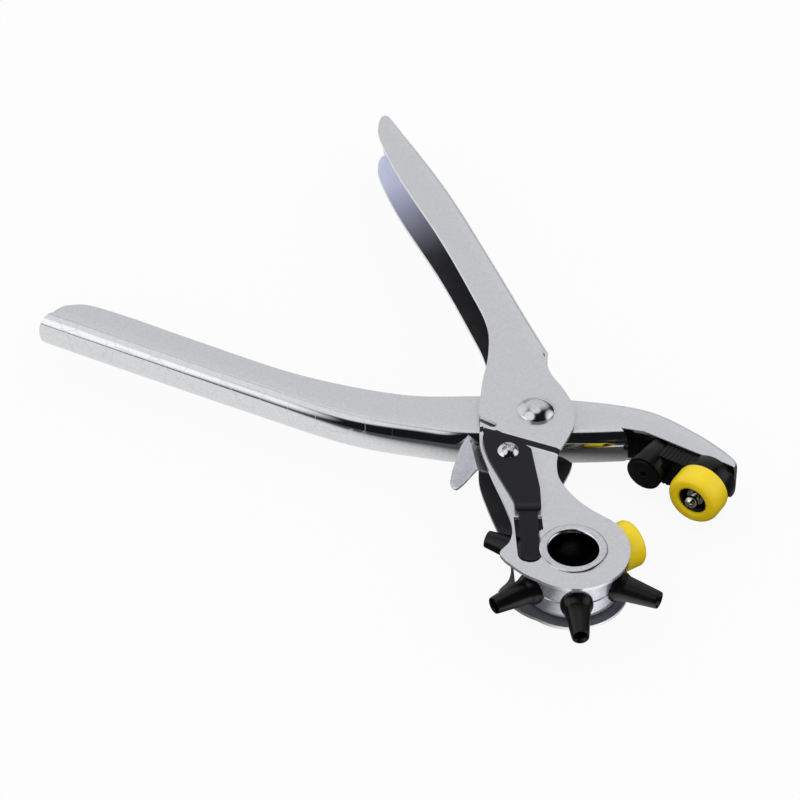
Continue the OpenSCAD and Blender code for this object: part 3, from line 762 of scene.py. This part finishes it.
# %% Jaw handle
JAW_EDGE = -14.8    # the jaw's straight inner edge, behind the die's face
jaw_outline = np.vstack([
    open_edge[:-1], nose_fold, [[56.6, 34.4]], [die_point(1.5, JAW_EDGE), die_point(-26, JAW_EDGE)],
    back_fold[::-1][:-1]])
pivot_hole = PIVOT + RIVET_SEAT * ring_of_points
piece(
    "jaw_handle_shell",
    cheeks(jaw_outline, [pivot_hole], lambda p: np.full(len(p), JAW_HALF), 2.6)
    + folded_web(back_fold, round_back(JAW_HALF, JAW_FOLD), start=3.4, end=2.4)
    + folded_web(nose_fold[::-1], soft_fold(JAW_HALF, NOSE_FOLD), narrow=nose_share[::-1]),
    "jaw", worn_plate, ["jaw_handle"], wall=SHEET, edge=0.28, inside=inside_painted_shade)

# %% [markdown]
# ## Turned and riveted parts
# The rivets, the hollow hub, the drum, the punches and the dies were all turned
# or pressed round, so each is one profile spun about its axis. Real edges are
# never sharp, and a small round on each corner is what catches the light.

# %% Pivot rivet
def closed(profile, radius=0.25):
    """A profile that comes back to its start, with every corner rounded."""
    loop = eased(profile, radius, ring=True)
    return np.vstack([loop, loop[:1]])


def mirrored(profile):
    """The same profile below the middle plane, still running upward."""
    return np.asarray(profile, float)[::-1] * [1, -1]


head = np.vstack([
    [[6.1, TURRET_HALF - 0.3], [6.1, TURRET_HALF + 0.75]], dome(5.85, 2.25, TURRET_HALF + 1.05)])
piece(
    "pivot_rivet_heads",
    [turned(np.vstack([mirrored(head), head]), put((*PIVOT, 0)))],
    "turret_frame", bright_plate, ["pivot_rivet"])

# %% [markdown]
# ## The return spring
# A torsion spring opens the handles. Its coil goes round the rivet, and one leg
# lies in each handle. A wire is a circle carried along a path, and the path here
# is two straight legs and a helix. In the tool the leg in the jaw moves with the
# jaw; here the wire is given no body and stays where it is drawn.

# %% Return spring
SPRING_TURNS, SPRING_RADIUS, SPRING_HALF, SPRING_WIRE = 3.25, 5.7, 3.6, 0.75
turns = np.linspace(0, SPRING_TURNS, 200)
around_rivet = np.radians(360 * turns - 90)
spring_coil = np.column_stack([
    SPRING_RADIUS * np.cos(around_rivet), PIVOT[1] + SPRING_RADIUS * np.sin(around_rivet),
    SPRING_HALF * (2 * turns / SPRING_TURNS - 1)])
along = np.linspace(0, 1, 16)[:, None]
leg_end, leg_bend, leg_start = ([*xy, -SPRING_HALF] for xy in ((-33, 64.6), (-12, 60.6), (-3, 59.7)))
jaw_leg = np.vstack([(1 - along) * leg_end + along * leg_bend,
                     (1 - along[1:]) * leg_bend + along[1:] * leg_start])
turret_leg = np.array([[5.8, 72, SPRING_HALF], [6.4, 99, SPRING_HALF]])
return_spring = piece(
    "return_spring_wire", [swept(np.vstack([jaw_leg, spring_coil, turret_leg]), SPRING_WIRE)],
    None, black_oxide, ["return_spring"])
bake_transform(return_spring)

# %% [markdown]
# ## The hub and the turret
# The turret turns on a hollow rivet with rolled rims, which are bright, and a
# bore so deep that its wall lies in shade, which is painted on as a dark finish.
# The drum is two pressed cups with a seam between them, and the punches and the
# die stand round it at six stations.

# %% Hollow hub
RIM = [[8.02, 8.6], [9.2, 8.6], [9.2, 9.25], [10.98, 9.25], [10.95, 9.5], [10.3, 9.78], [9.3, 9.85],
       [8.5, 9.72], [8.02, 9.25]]
piece("hub_rims", [turned(closed(RIM)), turned(closed(mirrored(RIM)))],
      "turret_frame", bright_plate, ["hub_rivet"])
# painted shade: the bore's wall is dark for the shade deep in the hub
BORE_WALL = [[8.0, -8.7], [9.2, -8.7], [9.2, 8.7], [8.0, 8.7]]
piece("hub_bore_wall", [turned(closed(BORE_WALL, 0.1))],
      "turret_frame", painted_bore_shade, ["hub_rivet"])

# %% Drum, punches and the turret's die
DRUM = [[9.3, 0.05], [15.55, 0.05], [15.8, 0.3], [15.8, 6.1], [15.1, 7.0], [14.3, 7.4], [9.3, 7.4]]
for name, profile in (("drum_upper", DRUM), ("drum_lower", mirrored(DRUM))):
    piece(name + "_shell", [turned(closed(profile, 0.3), sides=144)],
          "turret", drum_plate, [name])

PUNCH_BORES = [1.5, 1.75, 2.25, 2.0, 1.25]      # radii, from the station after the die's on
for count, bore in enumerate(PUNCH_BORES, 1):
    profile = [[bore, 14.2], [5.2, 14.2], [5.35, 15.6], [5.3, 16.6], [4.85, 17.7], [4.2, 18.9], [2.9, 29.9],
               [2.75, 30.4], [2.6, 30.4], [bore, 29.3]]
    piece(f"punch_{count}_turned", [turned(closed(profile, 0.35), at_station(STATION - 60 * count))],
          "turret", black_oxide, [f"punch_{count}"])

turret_ring = [[5, 16.4], [7.9, 16.4], [7.9, 22.9], [6.9, 24.1], [5, 24.1]]
piece("turret_die_ring_moulded", [turned(closed(turret_ring, 0.6), at_station(STATION))],
      "turret", yellow_plastic, ["turret_die_ring"])

# %% [markdown]
# ## The jaw's setting die and its carrier
# The ring is a soft stop that keeps the cloth flat. In it sits a black steel
# cup, and in the cup a ball-ended pin on a light spring finds the eyelet's hole.
# In the tool the spring flattens to 0.52 of its height as the pin goes in; here the coil is one fixed piece
# that stays with the carrier.

# %% Jaw die
jaw_ring = [[5, -8.4], [9.2, -8.4], [9.2, -1.7], [8.0, 0], [5, 0]]
piece("jaw_die_ring_moulded", [turned(closed(jaw_ring, 0.9), at_die())],
      "die_carrier", yellow_plastic, ["jaw_die_ring"])
cup = [[1.6, -8.35], [4.96, -8.35], [4.96, -1.0], [4.2, -1.0], [3.9, -6.2], [1.6, -6.2]]
piece("jaw_die_cup", [turned(closed(cup, 0.2), at_die())],
      "die_carrier", black_oxide, ["jaw_die_body"])
BALL = 2.15
ball_turn = np.radians(np.linspace(-52, 90, 22))
ball = np.column_stack([BALL * np.cos(ball_turn), -0.3 + BALL * np.sin(ball_turn)])
stem = [[0, -10.2], [1.9, -10.2], [1.95, -9.7], [1.45, -9.6], [1.45, -3.3], [2.9, -3.2], [2.95, -2.6],
        [1.35, -2.5]]
pin = np.vstack([stem, ball, [[0, 1.85]]])
piece("jaw_die_ball_pin", [turned(pin, at_die(), 48)],
      "locating_pin", bright_plate, ["jaw_die_pin"])

# %% The pin's light spring
COIL_TURNS, COIL_RADIUS, COIL_FOOT, COIL_TALL = 3.25, 2.55, -6.98, 3.36
turns = np.linspace(0, COIL_TURNS, 110)
wound = 2 * math.pi * turns
die_wire = np.column_stack([
    COIL_RADIUS * np.cos(wound), COIL_RADIUS * np.sin(wound), COIL_FOOT + COIL_TALL * turns / COIL_TURNS])
points, quads = swept(die_wire, 0.38)
die_coil = piece("jaw_die_coil", [(at_die()(points), quads)],
                 "die_carrier", bright_plate, ["jaw_die_spring"])
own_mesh(die_coil)

# %% [markdown]
# ## The detent spring
# The detent spring is a flat leaf that widens at the screw, kinks up over a
# ridge at its foot, and dips through the fork's window as a narrow tongue. Its
# two edges and its height are curves along its length, and a straight line
# across joins the edges.

# %% Detent spring
def tongue_point(x, y):
    """Places (x, y) of the tongue's own axes, which run up the leaf 8 degrees off +Y, in the part's frame."""
    c, s = math.cos(math.radians(-8)), math.sin(math.radians(-8))
    return np.column_stack([-13.7 + c * x - s * y, s * x + c * y])


leaf_left = curve([[-18.3, 57.8], [-19.7, 54.5], [-19.6, 46], [-18.3, 39.2], [-15.9, 28.6]], 6)
leaf_y = leaf_left[:, 1]
leaf_right = np.column_stack([np.interp(leaf_y, [28.6, 47.7, 57.8], [-5.5, -4.9, -14.3]), leaf_y])
# rows of the foot: distance up the leaf, half width, height
FOOT = np.array([
    [23.4, 4.35, 10.05], [22.3, 4.35, 10.08], [21.7, 4.3, 10.3], [21.0, 4.25, 10.75], [20.3, 4.25, 10.93],
    [19.5, 4.25, 10.95], [18.9, 4.2, 10.8], [18.5, 3.9, 10.5], [18.2, 3.3, 10.3], [17.4, 3.05, 10.22],
    [14.0, 3.0, 10.15], [10.0, 3.0, 9.95], [6.0, 3.0, 9.6], [2.6, 3.0, 9.1], [0.6, 3.0, 8.8],
    [-0.8, 2.8, 8.7], [-2.0, 2.1, 8.68], [-2.6, 1.0, 8.68]])
LEAF_TOP, ASIDE = 10.05, 0.2        # height of the flat leaf, and how far the foot sits off its axis
foot = curve(FOOT, 3)
foot_left = tongue_point(-foot[:, 1] - ASIDE, foot[:, 0])
foot_right = tongue_point(foot[:, 1] - ASIDE, foot[:, 0])
left_edge, right_edge = np.vstack([leaf_left, foot_left]), np.vstack([leaf_right, foot_right])
height = np.r_[np.full(len(leaf_left), LEAF_TOP), foot[:, 2]]
share = np.linspace(0, 1, 13)[None, :, None]
leaf = (1 - share) * left_edge[:, None] + share * right_edge[:, None]
leaf = np.concatenate([leaf, np.broadcast_to(height[:, None, None], (*leaf.shape[:2], 1))], 2)
piece("detent_leaf", [grid(leaf)], "turret_frame", blued_spring, ["detent_spring"],
      wall=0.78, edge=0.14, smooth=50)

# %% [markdown]
# ## The spring screw
# A screw with a cross recess holds the leaf. The recess could be cut with a
# boolean, but a height that dips inside the cross gives one clean surface with
# soft edges.

# %% Spring screw
CROSS_TURN = math.radians(24)


def cross_dome(radius, height, base, depth=0.9, arm=0.42, length=2.3):
    """A domed screw head with a cross recess: the cap's height, less depth inside either arm of the cross.
    An arm is 2 arm wide and 2 length long, and its edges are smooth steps."""
    ball = (radius**2 + height**2) / (2 * height)
    r = np.linspace(radius, 0, 44)[:, None]
    a = np.linspace(0, 2 * math.pi, 144, endpoint=False)[None]
    x, y = r * np.cos(a - CROSS_TURN), r * np.sin(a - CROSS_TURN)
    z = base + np.sqrt(ball**2 - r**2) - ball + height + 0 * a
    inside = lambda u, v: (smooth_step((arm - np.abs(u)) / 0.22 + 0.5)
                           * smooth_step((length - np.abs(v)) / 0.5))
    z = z - depth * np.maximum(inside(x, y), inside(y, x))
    points = np.stack([r * np.cos(a), r * np.sin(a), z], -1)
    skirt = np.stack([radius * np.cos(a), radius * np.sin(a), base - 0.2 + 0 * a], -1)
    return grid(np.concatenate([skirt, points]), around=True, flip=True)


points, quads = cross_dome(3.7, 2.1, FORK_HALF + 0.8)
shank = turned([[0, -12.4], [2, -12.4], [2, 10.05], [0, 10.05]], put((*SCREW_AT, 0)), 32)
piece("spring_screw_head", [(points + [*SCREW_AT, 0], quads), shank], "turret_frame",
      bright_plate, ["spring_screw"], smooth=60)

# %% [markdown]
# ## The lock catch
# The catch is a small plate folded along a crease. Each half is a surface drawn
# by straight lines between two curves, and the two share the crease.

# %% Lock catch
def even(points, count):
    """The same line with count points, spaced evenly along its length."""
    run = np.r_[0, np.cumsum(np.linalg.norm(np.diff(points, axis=0), axis=1))]
    at = np.linspace(0, run[-1], count)
    return np.column_stack([np.interp(at, run, axis) for axis in points.T])


# a pad beside the fork, creased from its apex so that its outer leaf hangs down to a rounded toe
APEX = [-23.6, 59.5, 7.7]
crease = even(curve([APEX, [-23.5, 51, 7.7], [-23.4, 42.9, 7.6]], 8), 25)
toe = even(curve([APEX, [-26.6, 55.8, 6.4], [-29.6, 49.8, 5.2], [-32.2, 43.0, 4.3], [-32.7, 39.6, 4.2],
                  [-31.4, 37.7, 4.4], [-29.3, 38.6, 5.2], [-27.4, 40.2, 6.1]], 8), 25)
pad_edge = even(curve([APEX, [-22.2, 57.6, 6.9], [-20.0, 52.0, 4.6], [-19.4, 44.0, 4.3]], 8), 25)
share = np.linspace(0, 1, 9)[None, :, None]
outer_leaf = (1 - share) * toe[:, None] + share * crease[:, None]
inner_pad = (1 - share) * crease[:, None] + share * pad_edge[:, None]
piece("lock_catch_plate", [grid(outer_leaf), grid(inner_pad)],
      "catch", drum_plate, ["lock_catch"], wall=0.55, smooth=20)

# %% [markdown]
# ## Parts that keep their measured shape
# The washers, the spacer, the nut, the carrier and what is inside the jaw were
# modelled closely enough already. They get a finish, and a bevel that rounds
# their edges. Their triangles come in loose, so they are welded before that.

# %% Finish the rest of the measured parts
for node, finish, edge in (
    ("front_washer", black_oxide, 0.2), ("rear_washer", black_oxide, 0.2),
    ("turret_die", black_oxide, 0.2), ("fork_spacer", black_oxide, 0.2), ("screw_nut", bright_plate, 0.3),
    ("jaw_block", black_nylon, 0.3), ("carrier_pin", black_oxide, 0.2), ("carrier", black_nylon, 0.35),
    ("anvil_pad", black_oxide, 0.2),
):
    finished(node, finish, edge)
print("measured parts finished")
